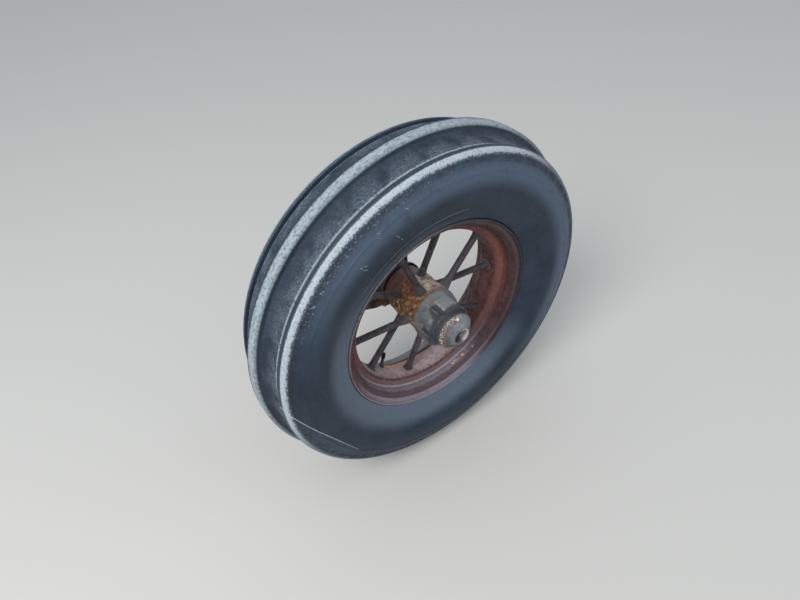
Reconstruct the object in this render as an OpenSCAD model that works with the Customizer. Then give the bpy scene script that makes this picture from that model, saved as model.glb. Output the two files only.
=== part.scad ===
// Front wheel of a vintage farm tractor on its steering knuckle.
// Millimetres. +X is the way the tractor drives, +Z is up, and the wheel's
// outer face looks along -Y. The origin is the middle of the kingpin bore.
// Wheel angles are counted from the top of the wheel towards the front.

/* [Tyre] */
// diameter over the centre rib
tyre_od = 870; // [800:1:940]
// widest width, at the bulge of the side walls
tyre_w = 207; // [180:1:230]
// height of the centre rib above its valleys
rib_h = 19; // [10:1:25]
// width of the centre rib's flat top
rib_w = 24; // [16:1:40]

/* [Rim] */
// diameter where the tyre's bead sits
seat_d = 457.2; // [440:0.1:480]
// width between the two flanges
rim_w = 127; // [110:0.1:160]
// height of each flange above the bead seat
flange_h = 22.2; // [18:0.1:28]
// sheet thickness
rim_t = 4; // [3:0.5:6]
// inner radius of the drop centre, where the spokes are welded
well_r = 203; // [190:1:208]
// how far the drop centre's middle lies outside the rim's middle plane
well_mid = 6; // [-8:1:10]

/* [Spokes] */
// diameter of the round bar
spoke_d = 16; // [10:0.5:22]
// spokes in each of the two rows
row_n = 5; // [4:1:8]
// how far the outer row meets the hub outside the wheel's middle plane
outer_row_a = 26; // [10:1:40]
// how far the inner row meets the hub inside the wheel's middle plane
inner_row_a = 23; // [10:1:40]
// angle of the first spoke of the inner row
first_angle = 17; // [0:1:36]

/* [Hub] */
// radius of the cast barrel
barrel_r = 58; // [50:1:75]
// inner end of the hub, measured inwards from the wheel's middle plane
hub_back = 86; // [70:1:100]
// outer face of the hub, measured outwards
hub_front = 122; // [110:1:140]
// radius of the lobes round the hub's nose
lobe_r = 63.5; // [60:0.5:72]
// radius of the neck between the lobes and the cap
neck_r = 47.5; // [46:0.5:60]
// distance of the flats between the lobes from the axle
flat_r = 52; // [50:0.5:56]
// radius in the hollow down the middle of each flat
hollow_r = 48; // [47.5:0.5:56]
// radius of each hollow across
hollow_w = 20; // [14:0.5:24]
// angle of the first flat
flat_angle = -16; // [-36:1:36]
// how far each spoke's boss stands out of the barrel
boss_h = 20; // [0:1:26]
// outer end of the hub cap, measured outwards
cap_end = 147; // [140:1:165]

/* [Knuckle] */
// from the kingpin's axis to the wheel's middle plane
kingpin_gap = 176; // [170:1:200]
// radius of the kingpin
pin_r = 16; // [12:0.5:20]
// gap between the fork's two ears, for the end of the axle beam
fork_gap = 90; // [70:1:110]
// thickness of each ear
ear_t = 42; // [30:1:50]
// stub axle radius at the hub's inner and outer seats
axle_in_r = 24; // [20:0.5:28]
axle_out_r = 17; // [14:0.5:20]
// from the kingpin back to the tie rod's eye
arm_reach = 178; // [140:1:200]

/* [Hidden] */
$fn = 96;
run_gap = 0.06;
tyre_r = tyre_od / 2;
seat_r = seat_d / 2;
flange_r = seat_r + flange_h;
half_w = rim_w / 2;
fork_top = fork_gap / 2 + ear_t;
row_step = 360 / row_n;
nose_start = 42;
rubber = "#3b4148";
rim_red = "#5e2b28";
bar_brown = "#4a3b3a";
cast_ochre = "#8a6a2c";
grease_grey = "#5c6063";
forged = "#4b4a46";
bronze = "#9a7a3e";
steel = "#8b8d8f";

// the wheel's own frame: its profile's x is the radius and y the outward distance
module wheel_turned() {
    translate([0, -kingpin_gap, 0]) rotate([90, 0, 0]) rotate_extrude() children();
}

// a place on the wheel at an angle: +Z is outward from the axle there
module wheel_angle(t) {
    translate([0, -kingpin_gap, 0]) rotate([0, t, 0]) children();
}

// children stand on a line from radius r1, side a1 to radius r2, side a2
module leaning(r1, a1, r2, a2) {
    translate([0, -a1, r1]) rotate([atan2(a2 - a1, r2 - r1), 0, 0]) children();
}

function span(r1, a1, r2, a2) = norm([r2 - r1, a2 - a1]);

// half outlines are mirrored about the middle plane
function other_side(pts) = [for (i = [len(pts) - 1 : -1 : 0]) [pts[i][0], -pts[i][1]]];

// radius and side distance down the outside of the tyre, from the crown to the bead
tyre_out = [
    [tyre_r, rib_w / 2],
    [tyre_r - rib_h, rib_w / 2 + 5],
    [tyre_r - rib_h - 4, 42],
    [tyre_r - rib_h - 7, 66],
    [tyre_r - 21.5, 71.5],
    [tyre_r - 28, 88],
    [tyre_r - 47, tyre_w / 2 - 7],
    [tyre_r - 72, tyre_w / 2 - 1],
    [tyre_r - 92, tyre_w / 2],
    [tyre_r - 116, tyre_w / 2 - 3],
    [tyre_r - 142, tyre_w / 2 - 11],
    [tyre_r - 166, 82],
    [flange_r + 7, half_w + 14],
    [flange_r + 1.2, half_w + 11.5],
    [flange_r + 0.3, half_w + 9.5],
    [flange_r - 0.5, half_w + 5.6],
    [flange_r - 3.6, half_w + 1.6],
    [flange_r - 7.7, half_w - 0.4],
    [seat_r + 7.2, half_w - 0.4],
    [seat_r + 3.3, half_w - 3.2],
    [seat_r + 1, half_w - 7.6]
];
// and back up the inside, from the bead's toe to the crown
tyre_in = [
    [seat_r - 1, half_w - 20],
    [seat_r + 3, half_w - 22],
    [seat_r + 16, half_w - 13],
    [tyre_r - 150, tyre_w / 2 - 26],
    [tyre_r - 92, tyre_w / 2 - 13],
    [tyre_r - 52, tyre_w / 2 - 26],
    [tyre_r - 36, 40]
];

module tyre() {
    color(rubber) wheel_turned() polygon(concat(
        tyre_out, tyre_in, other_side(tyre_in), other_side(tyre_out)));
}

// radius and side distance along the tyre's side of the rim sheet, from the well's wall
rim_top = [
    [seat_r - 2.6, half_w - 24],
    [seat_r + 0.6, half_w - 7.5],
    [seat_r + 2.9, half_w - 3],
    [seat_r + 7.4, half_w],
    [flange_r - 7.8, half_w],
    [flange_r - 3.6, half_w + 2.1],
    [flange_r - 0.8, half_w + 6],
    [flange_r, half_w + 10],
    [flange_r - 0.4, half_w + 13],
    [flange_r - 2.3, half_w + 14.2]
];
// and back along the side that shows
rim_under = [
    [flange_r - 4.6, half_w + 13.4],
    [flange_r - 4.4, half_w + 9],
    [flange_r - 6.6, half_w + 5.8],
    [flange_r - 10.3, half_w + rim_t],
    [seat_r + 7.4, half_w + rim_t],
    [seat_r + 3.2, half_w + 1.6],
    [seat_r - 0.4, half_w - 2.2],
    [seat_r - 3.4, half_w - 6.8],
    [seat_r - 6.6, half_w - 22]
];

module rim() {
    color(rim_red) wheel_turned() polygon(concat(
        [[well_r + rim_t, well_mid + 21.8]], rim_top, rim_under,
        [[well_r, well_mid + 24], [well_r, well_mid - 24]],
        other_side(rim_under), other_side(rim_top),
        [[well_r + rim_t, well_mid - 21.8]]));
}

module valve_stem() {
    color(steel) wheel_angle(-138) leaning(well_r + 2, -9, well_r - 40, -16) {
        cylinder(r = 4, h = 42, $fn = 24);
        translate([0, 0, 29]) cylinder(r = 5, h = 14, $fn = 24);
    }
}

// one row: bars from the hub to the drop centre, swelled at the weld
module spoke_row(hub_a, rim_a, first) {
    bar = span(barrel_r - 6, hub_a, well_r + 1.5, rim_a);
    for (i = [0 : row_n - 1])
        wheel_angle(first + i * row_step) leaning(barrel_r - 6, hub_a, well_r + 1.5, rim_a) {
            cylinder(d = spoke_d, h = bar, $fn = 32);
            translate([0, 0, bar - 18]) cylinder(d1 = spoke_d, d2 = spoke_d + 9, h = 18, $fn = 32);
        }
}

module outer_spokes() {
    color(bar_brown) spoke_row(outer_row_a, 6, first_angle - row_step / 2);
}

module inner_spokes() {
    color(bar_brown) spoke_row(-inner_row_a, 1, first_angle);
}

// radius and side distance of the hub's outside, from its inner end outwards
hub_outside = [
    [barrel_r - 8, -hub_back],
    [barrel_r - 6, -hub_back + 3],
    [barrel_r - 6, -hub_back + 22],
    [barrel_r, -hub_back + 31],
    [barrel_r + 1, -inner_row_a - 4],
    [barrel_r - 1, 2],
    [barrel_r + 1, outer_row_a],
    [barrel_r + 1, nose_start],
    [lobe_r - 1.5, nose_start + 8],
    [lobe_r, nose_start + 14],
    [lobe_r, nose_start + 46],
    [lobe_r - 1.5, nose_start + 52],
    [lobe_r - 5, nose_start + 57],
    [neck_r + 5, nose_start + 60.5],
    [neck_r + 1, nose_start + 63],
    [neck_r, nose_start + 67],
    [neck_r - 0.5, hub_front - 4],
    [neck_r - 1.5, hub_front]
];
// the inside, back from the outer face
hub_inside = [
    [38, hub_front],
    [38, hub_front - 12],
    [axle_out_r + run_gap, hub_front - 16],
    [axle_out_r + run_gap, nose_start + 24],
    [40, nose_start + 14],
    [40, -18],
    [axle_in_r + run_gap, -28],
    [axle_in_r + run_gap, -hub_back]
];

// a boss that a spoke is forged into, on the barrel at one angle
module spoke_boss(hub_a, rim_a, t) {
    wheel_angle(t) leaning(barrel_r - 10, hub_a, well_r, rim_a)
        cylinder(d1 = spoke_d + 14, d2 = spoke_d + 2, h = boss_h + 10, $fn = 32);
}

// what is cut off the nose for one of its flats, which starts on a slope
module nose_flat(t) {
    wheel_angle(t) translate([-50, 0, 0]) rotate([90, 0, 90]) linear_extrude(100) polygon([
        [-nose_start - 3, barrel_r + 2.5], [-nose_start - 16, flat_r],
        [-nose_start - 70, flat_r], [-nose_start - 70, lobe_r + 9],
        [-nose_start - 3, lobe_r + 9]]);
}

// a hollow down the middle of a flat: it runs in on a slope, then on straight to the neck
module nose_hollow(t) {
    wheel_angle(t) translate([0, 0, hollow_r + hollow_w]) rotate([90, 0, 0]) {
        translate([0, 0, nose_start + 4])
            cylinder(r1 = hollow_r + hollow_w - barrel_r - 1, r2 = hollow_w, h = 22);
        translate([0, 0, nose_start + 26]) cylinder(r = hollow_w, h = 44);
    }
}

module hub() {
    color(cast_ochre) difference() {
        union() {
            wheel_turned() polygon(concat(hub_outside, hub_inside));
            for (i = [0 : row_n - 1]) {
                spoke_boss(outer_row_a, 6, first_angle + (i - 0.5) * row_step);
                spoke_boss(-inner_row_a, 1, first_angle + i * row_step);
            }
        }
        for (i = [0 : row_n - 1]) {
            nose_flat(flat_angle + i * row_step);
            nose_hollow(flat_angle + i * row_step);
        }
    }
}

module hub_seal() {
    color("#1d1c1c") wheel_turned() polygon([
        [30, -hub_back], [barrel_r - 5.5, -hub_back], [barrel_r - 5.5, -hub_back + 8],
        [barrel_r - 2, -hub_back + 8], [barrel_r - 1, -hub_back + 6],
        [barrel_r - 1, -hub_back - 1], [barrel_r - 2, -hub_back - 2], [30, -hub_back - 2]]);
}

module hub_cap() {
    color(grease_grey) wheel_turned() polygon([
        [36, hub_front - 10], [37.9, hub_front - 10], [37.9, hub_front],
        [45.5, hub_front], [45.5, hub_front + 2.5], [43.5, hub_front + 4.5],
        [40, hub_front + 8.5], [34, hub_front + 14], [26, cap_end - 4], [22.5, cap_end - 1],
        [20.5, cap_end], [18, cap_end], [18, cap_end - 12], [0, cap_end - 12],
        [0, cap_end - 16], [22, cap_end - 16], [34, hub_front + 4]]);
}

module cap_plug() {
    color(steel) difference() {
        wheel_turned() polygon([[0, cap_end - 12], [17.9, cap_end - 12],
            [17.9, cap_end - 6], [16.3, cap_end - 5], [0, cap_end - 5]]);
        translate([0, -kingpin_gap - cap_end + 9, 0]) rotate([90, 0, 0])
            linear_extrude(12) square(11, center = true);
    }
}

// the fork's two ears, which end flat at its back
module fork_ears() {
    color(forged) for (low = [fork_gap / 2, -fork_top]) translate([0, 0, low]) difference() {
        union() {
            cylinder(r = 34, h = ear_t);
            linear_extrude(ear_t)
                polygon([[-33, 6], [33, 6], [38, -30], [38, -43], [-38, -43], [-38, -30]]);
        }
        translate([0, 0, -1]) cylinder(r = pin_r + 3, h = ear_t + 2);
    }
}

// the fork's back seen from the front: its x is the side distance and its y the height
module back_outline() {
    intersection() {
        union() {
            translate([-48, -fork_top]) square([5, 2 * fork_top]);
            translate([-74, 26 - fork_top]) square([31, 2 * fork_top - 52]);
            for (s = [-1, 1]) translate([-48, s * (fork_top - 26)]) circle(r = 26);
        }
        translate([-80, -fork_top]) square([37, 2 * fork_top]);
    }
    for (s = [0, 1]) mirror([0, s])
        polygon([[-45, 32], [-43, fork_gap / 2 - 12], [-32, fork_gap / 2], [-45, fork_gap / 2]]);
}

module knuckle() {
    color(forged) rotate([90, 0, 90]) translate([0, 0, -38]) linear_extrude(76) back_outline();
}

// radius and side distance from the fork's outer face outwards
axle_shape = [
    [0, -hub_back - 16], [42, -hub_back - 16], [47, -hub_back - 14], [52, -hub_back - 12],
    [52, -hub_back - 8], [34, -hub_back - 6], [28, -hub_back - 5],
    [axle_in_r, -hub_back - 3], [axle_in_r, -26], [axle_out_r, nose_start + 20],
    [axle_out_r, hub_front - 8], [axle_out_r - 2, hub_front - 6], [0, hub_front - 6]
];

module stub_axle() {
    color(forged) wheel_turned() polygon(axle_shape);
}

module bush(low) {
    color(bronze) translate([0, 0, low]) difference() {
        cylinder(r = pin_r + 3, h = ear_t);
        translate([0, 0, -1]) cylinder(r = pin_r, h = ear_t + 2);
    }
}

module upper_bush() { bush(fork_gap / 2); }

module lower_bush() { bush(-fork_top); }

module thrust_washer() {
    color(steel) translate([0, 0, -fork_gap / 2]) difference() {
        cylinder(r = 31, h = 7);
        translate([0, 0, -1]) cylinder(r = pin_r + 1, h = 9);
    }
}

// the arm seen from above: from the pad on the fork's rear cheek to the tie rod's eye
arm_plan = [
    [-50, -73], [-50, -43], [-66, -42], [-arm_reach + 6, 12], [-arm_reach - 2, -24],
    [-80, -64], [-66, -71]
];

module steering_arm() {
    color(forged) difference() {
        union() {
            translate([-54, -58.3, 0]) rotate([0, 90, 0]) linear_extrude(16) union() {
                translate([22, 0]) circle(r = 15.5);
                translate([54, 0]) circle(r = 15.5);
                translate([22, -15.5]) square([32, 31]);
            }
            translate([0, 0, -64]) linear_extrude(20) polygon(arm_plan);
            translate([-arm_reach, -5, -70]) cylinder(r = 19, h = 28);
        }
        translate([-arm_reach, -5, -80]) cylinder(r = 9, h = 60);
    }
}

tyre();
rim();
valve_stem();
outer_spokes();
inner_spokes();
hub();
hub_seal();
hub_cap();
cap_plug();
knuckle();
fork_ears();
stub_axle();
upper_bush();
lower_bush();
thrust_washer();
steering_arm();
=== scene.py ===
import bpy
import math
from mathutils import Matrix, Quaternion, Vector, noise


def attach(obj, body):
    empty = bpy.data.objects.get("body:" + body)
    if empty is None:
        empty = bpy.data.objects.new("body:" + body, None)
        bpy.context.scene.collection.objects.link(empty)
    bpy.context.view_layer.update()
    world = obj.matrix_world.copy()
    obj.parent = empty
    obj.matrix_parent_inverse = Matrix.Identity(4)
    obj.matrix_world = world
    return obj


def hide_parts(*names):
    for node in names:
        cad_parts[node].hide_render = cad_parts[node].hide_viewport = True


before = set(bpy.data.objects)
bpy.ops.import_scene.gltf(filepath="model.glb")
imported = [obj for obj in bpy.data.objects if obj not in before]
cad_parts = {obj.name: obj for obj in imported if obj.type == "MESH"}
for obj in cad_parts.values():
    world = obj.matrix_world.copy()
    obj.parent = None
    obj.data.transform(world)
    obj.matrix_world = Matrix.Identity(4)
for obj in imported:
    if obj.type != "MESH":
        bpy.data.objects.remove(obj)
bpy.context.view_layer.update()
print("frame loaded:", sorted(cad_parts))

mm = 0.001
smoothStep = {"interpolation_type": "SMOOTHSTEP"}  # a MapRange that eases in and out

# The wheel turns about the line along Y through its middle. "Side" is counted outwards
# along it, and "angle" from the top of the wheel towards the front of the tractor.
wheel = {"middleY": -176, "rowStep": 72, "outerFirst": -19, "innerFirst": 17}


def linearColour(hexText):
    parts = [int(hexText[i:i + 2], 16) / 255 for i in (1, 3, 5)]
    return [c / 12.92 if c <= 0.04045 else ((c + 0.055) / 1.055) ** 2.4 for c in parts] + [1.0]


def perMetre(sizeMm):  # texture scale for a pattern whose grain is this many millimetres
    return 1 / (sizeMm * mm)


def addNode(beside, kind, inputs=None, output=0, **settings):
    # The node goes into the tree that "beside", a tree, node or socket, belongs to. Each
    # input is a socket to link from, a "#hex" colour or a plain value.
    tree = beside.id_data
    node = tree.nodes.new("ShaderNode" + kind)
    for key, value in settings.items():
        setattr(node, key, value)
    for key, value in (inputs or {}).items():
        if isinstance(value, bpy.types.NodeSocket):
            tree.links.new(value, node.inputs[key])
        else:
            colour = isinstance(value, str)
            node.inputs[key].default_value = linearColour(value) if colour else value
    return node.outputs[output] if node.outputs else node


def newMaterial(name, settings):
    material = bpy.data.materials.new(name)
    material.use_nodes = True
    material.node_tree.nodes.clear()
    surface = addNode(material.node_tree, "BsdfPrincipled", settings)
    addNode(surface, "OutputMaterial", {"Surface": surface})
    return material, surface.node


def wheelPlace(surface):  # the shaded point, with its radius, side and angle in mm and degrees
    here = addNode(surface, "TexCoord", output="Object")
    xyz = addNode(surface, "SeparateXYZ", {0: here}).node.outputs
    flat = addNode(surface, "CombineXYZ", {0: xyz[0], 1: xyz[2]})
    radius = addNode(surface, "VectorMath", {0: flat}, output="Value", operation="LENGTH")
    radius = addNode(surface, "Math", {0: radius, 1: 1 / mm}, operation="MULTIPLY")
    side = addNode(surface, "Math", {0: xyz[1], 1: -1 / mm, 2: wheel["middleY"]},
                   operation="MULTIPLY_ADD")
    angle = addNode(surface, "Math", {0: xyz[0], 1: xyz[2]}, operation="ARCTAN2")
    angle = addNode(surface, "Math", {0: angle, 1: 180 / math.pi}, operation="MULTIPLY")
    return here, radius, side, angle


def toward(here, angle, low, high):  # 0 to 1 as the place nears one side of the wheel
    turn = math.radians(angle)
    flat = addNode(here, "VectorMath", {0: here, 1: (1, 0, 1)}, operation="MULTIPLY")
    flat = addNode(here, "VectorMath", {0: flat}, operation="NORMALIZE")
    near = addNode(here, "VectorMath", {0: flat, 1: (math.sin(turn), 0, math.cos(turn))},
                   output="Value", operation="DOT_PRODUCT")
    return addNode(here, "MapRange", {0: near, 1: low, 2: high}, **smoothStep)


def roundPlace(here, radius, side, reach):  # streaks run round the wheel without a seam
    flat = addNode(here, "VectorMath", {0: here, 1: (1, 0, 1)}, operation="MULTIPLY")
    flat = addNode(here, "VectorMath", {0: flat}, operation="NORMALIZE")
    xyz = addNode(here, "SeparateXYZ", {0: flat}).node.outputs
    across = addNode(here, "Math", {0: side, 1: 1.0, 2: radius}, operation="MULTIPLY_ADD")
    flat = addNode(here, "CombineXYZ", {0: xyz[0], 1: xyz[2]})
    flat = addNode(here, "VectorMath", {0: flat, "Scale": reach * mm}, operation="SCALE")
    lift = addNode(here, "CombineXYZ", {2: across})
    lift = addNode(here, "VectorMath", {0: lift, "Scale": mm}, operation="SCALE")
    return addNode(here, "VectorMath", {0: flat, 1: lift}, operation="ADD")


def grains(where, sizeMm, low, high, detail=4, stretch=None, distort=0.0, rough=0.55):
    if stretch:
        where = addNode(where, "Mapping", {"Vector": where, "Scale": stretch})
    cloud = addNode(where, "TexNoise", {"Vector": where, "Scale": perMetre(sizeMm),
                                        "Detail": detail, "Roughness": rough,
                                        "Distortion": distort})
    return addNode(where, "MapRange", {0: cloud, 1: low, 2: high}, **smoothStep)


def product(*masks):  # the first is a socket, the others sockets or plain shares
    amount = masks[0]
    for mask in masks[1:]:
        amount = addNode(amount, "Math", {0: amount, 1: mask}, operation="MULTIPLY")
    return amount


def window(value, low, high, soft):  # 1 between low and high, fading over soft
    up = addNode(value, "MapRange", {0: value, 1: low - soft, 2: low + soft}, **smoothStep)
    down = addNode(value, "MapRange", {0: value, 1: high - soft, 2: high + soft, 3: 1.0, 4: 0.0},
                   **smoothStep)
    return product(up, down)


def ragged(value, where, sizeMm, reach):  # a distance whose edges wander by the reach
    cloud = addNode(where, "TexNoise", {"Vector": where, "Scale": perMetre(sizeMm),
                                        "Detail": 6.0, "Roughness": 0.6})
    shifted = addNode(where, "Math", {0: cloud, 1: -0.5}, operation="ADD")
    return addNode(where, "Math", {0: shifted, 1: 2.0 * reach, 2: value}, operation="MULTIPLY_ADD")


def coated(surface, base, coats):  # each coat: its colour and the masks it shows through
    for colour, *masks in coats:
        base = addNode(surface, "Mix", {0: product(*masks), 6: base, 7: colour}, output=2,
                       data_type="RGBA")
    surface.id_data.links.new(base, surface.inputs["Base Color"])


def roughened(surface, smooth, coats):  # each coat: its roughness and its masks
    value = smooth
    for rough, *masks in coats:
        value = addNode(surface, "Mix", {0: product(*masks), 2: value, 3: rough})
    surface.id_data.links.new(value, surface.inputs["Roughness"])


def relief(surface, layers):  # each layer: its depth in mm and its height masks
    normal = None
    for depth, *heights in layers:
        links = {"Height": product(*heights), "Distance": depth * mm, "Strength": 1.0}
        if normal:
            links["Normal"] = normal
        normal = addNode(surface, "Bump", links)
    surface.id_data.links.new(normal, surface.inputs["Normal"])


def place(radius, side, angle):
    turn = math.radians(angle)
    return Vector((radius * math.sin(turn), wheel["middleY"] - side, radius * math.cos(turn))) * mm


def makePiece(name, points, faces, material, body, replaces=()):
    mesh = bpy.data.meshes.new(name)
    mesh.from_pydata([tuple(p) for p in points], [], faces)
    mesh.update()
    mesh.polygons.foreach_set("use_smooth", [True] * len(mesh.polygons))
    piece = bpy.data.objects.new(name, mesh)
    bpy.context.scene.collection.objects.link(piece)
    mesh.materials.append(material)
    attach(piece, body)
    if replaces:
        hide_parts(*replaces)
    return piece


def softOutline(corners, closed=True, steps=5):  # each corner: radius, side and rounding
    rounded = []
    count = len(corners)
    for i, corner in enumerate(corners):
        here = Vector(corner[:2])
        size = corner[2]
        if size == 0 or (not closed and i in (0, count - 1)):
            rounded.append(here)
            continue
        before = Vector(corners[i - 1][:2]) - here
        after = Vector(corners[(i + 1) % count][:2]) - here
        start = here + before.normalized() * min(size, before.length * 0.5)
        end = here + after.normalized() * min(size, after.length * 0.5)
        for k in range(steps + 1):
            t = k / steps
            rounded.append(start * (1 - t) ** 2 + here * 2 * t * (1 - t) + end * t * t)
    return rounded


def smoothCurve(knots, step):  # a curve through every knot, with a point about every step mm
    knots = [Vector(k) for k in knots]
    ends = [2 * knots[0] - knots[1]] + knots + [2 * knots[-1] - knots[-2]]
    curve = []
    for p, q, r, s in zip(ends, ends[1:], ends[2:], ends[3:]):
        pieces = max(1, round((r - q).length / step))
        for k in range(pieces):
            t = k / pieces
            curve.append(0.5 * (2 * q + (r - p) * t + (2 * p - 5 * q + 4 * r - s) * t * t
                                + (3 * q - p - 3 * r + s) * t ** 3))
    return curve + [knots[-1]]


def gridFaces(rows, columns, wrapRows, first=0):
    faces = []
    for i in range(rows if wrapRows else rows - 1):
        below = first + i * columns
        above = first + ((i + 1) % rows) * columns
        for j in range(columns):
            beside = (j + 1) % columns
            faces.append((below + j, below + beside, above + beside, above + j))
    return faces


def turned(name, outline, columns, material, replaces=(), wear=None, closed=True,
           lean=None):
    points = []
    for r, side in outline:
        for j in range(columns):
            angle = 360 * j / columns
            extra = wear(r, side, angle) if wear else (0, 0)
            points.append(place(r + extra[0], side + extra[1], angle))
            if lean:
                points[-1] += lean(side)
    faces = gridFaces(len(outline), columns, closed)
    return makePiece(name, points, faces, material, "wheel", replaces)


def addBar(points, faces, start, end, rings, columns, uneven=0.0):
    # A round bar closed at both ends. Each ring: its share of the length and its radius.
    along = (end - start).normalized()
    across = along.cross(Vector((0, 0, 1)) if abs(along.z) < 0.9 else Vector((1, 0, 0)))
    across.normalize()
    over = along.cross(across)
    first = len(points)
    for share, radius in rings:
        middle = start.lerp(end, share)
        for j in range(columns):
            turn = 2 * math.pi * j / columns
            out = across * math.cos(turn) + over * math.sin(turn)
            # here and below, noise is taken at so many waves a metre
            swell = 1 + uneven * noise.noise((middle + out * radius * mm) * 220)
            points.append(middle + out * radius * mm * swell)
    last = len(points) - columns
    faces += gridFaces(len(rings), columns, False, first)
    faces.append(tuple(range(first, first + columns))[::-1])
    faces.append(tuple(range(last, last + columns)))


tyre = {
    # two colours here are painted sheen: the blue of the bulge and the grey of the inner slope and
    # bead ring
    "rubber": "#192533", "bloom": "#3c4b5d", "paintedSheen": "#536275", "inner": "#5a6674",
    "valley": "#262f3c", "dust": "#77838f", "scuff": "#adb6bc", "ribTop": "#9ca7ad",
    "edge": "#56616c", "paintedGrooveShadow": "#141b25", "earth": "#2f2e2d", "scratch": "#9aa5b3",
    "columns": 300, "ribChips": 3.0, "shoulderChips": 2.0,
    # small pale scratches and spots: radius, angle, length mm, width mm, lean in degrees
    "marks": ((371, -25, 11, 1.0, 48), (367, -25.4, 11, 0.9, 48), (363, -25.8, 11, 0.9, 48),
              (346.4, -35.8, 5, 3.5, 0), (341, -34.5, 12, 1.6, 60), (334, -35.5, 13, 1.8, 60),
              (331, -20.8, 16, 1.3, 70), (316, -19.9, 11, 1.6, 70), (371, -14.5, 14, 1.2, 50)),
}


def dustWedge(here, radius, angle, outward, broken):
    # dried dust where the shoulder last met soft ground, bowed like the ground's own line
    bow = addNode(angle, "Math", {0: angle, 1: 119.0}, operation="ADD")
    bow = addNode(angle, "Math", {0: bow, 1: 2.0}, operation="POWER")
    bow = addNode(angle, "Math", {0: bow, 1: -0.058, 2: radius}, operation="MULTIPLY_ADD")
    ends = window(angle, -131, -84, 1.5)
    return [(tyre["dust"], outward, ends, window(bow, 358, 400, 0.8),
             grains(here, 10, 0.3, 0.7, detail=7, stretch=(1, 1, 3)), 0.16),
            (tyre["scuff"], outward, ends, window(bow, 356.6, 358.4, 0.7), broken,
             toward(here, -98, 0.7, 1.0), 0.85)]


def scratchMask(radius, angle, atRadius, atAngle, long, wide, lean):
    perDegree = math.radians(atRadius)
    out = addNode(radius, "Math", {0: radius, 1: -atRadius}, operation="ADD")
    around = addNode(radius, "Math", {0: angle, 1: perDegree, 2: -atAngle * perDegree},
                     operation="MULTIPLY_ADD")
    spot = addNode(radius, "CombineXYZ", {0: around, 1: out})
    spot = addNode(radius, "Mapping", {"Vector": spot, "Rotation": (0, 0, math.radians(lean)),
                                       "Scale": (1, 1, 0)})
    spot = addNode(radius, "VectorMath", {0: spot, 1: (2 / long, 2 / wide, 0)},
                   operation="MULTIPLY")
    spot = addNode(radius, "VectorMath", {0: spot}, output="Value", operation="LENGTH")
    return addNode(radius, "MapRange", {0: spot, 1: 1.2, 2: 0.3}, **smoothStep)


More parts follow.
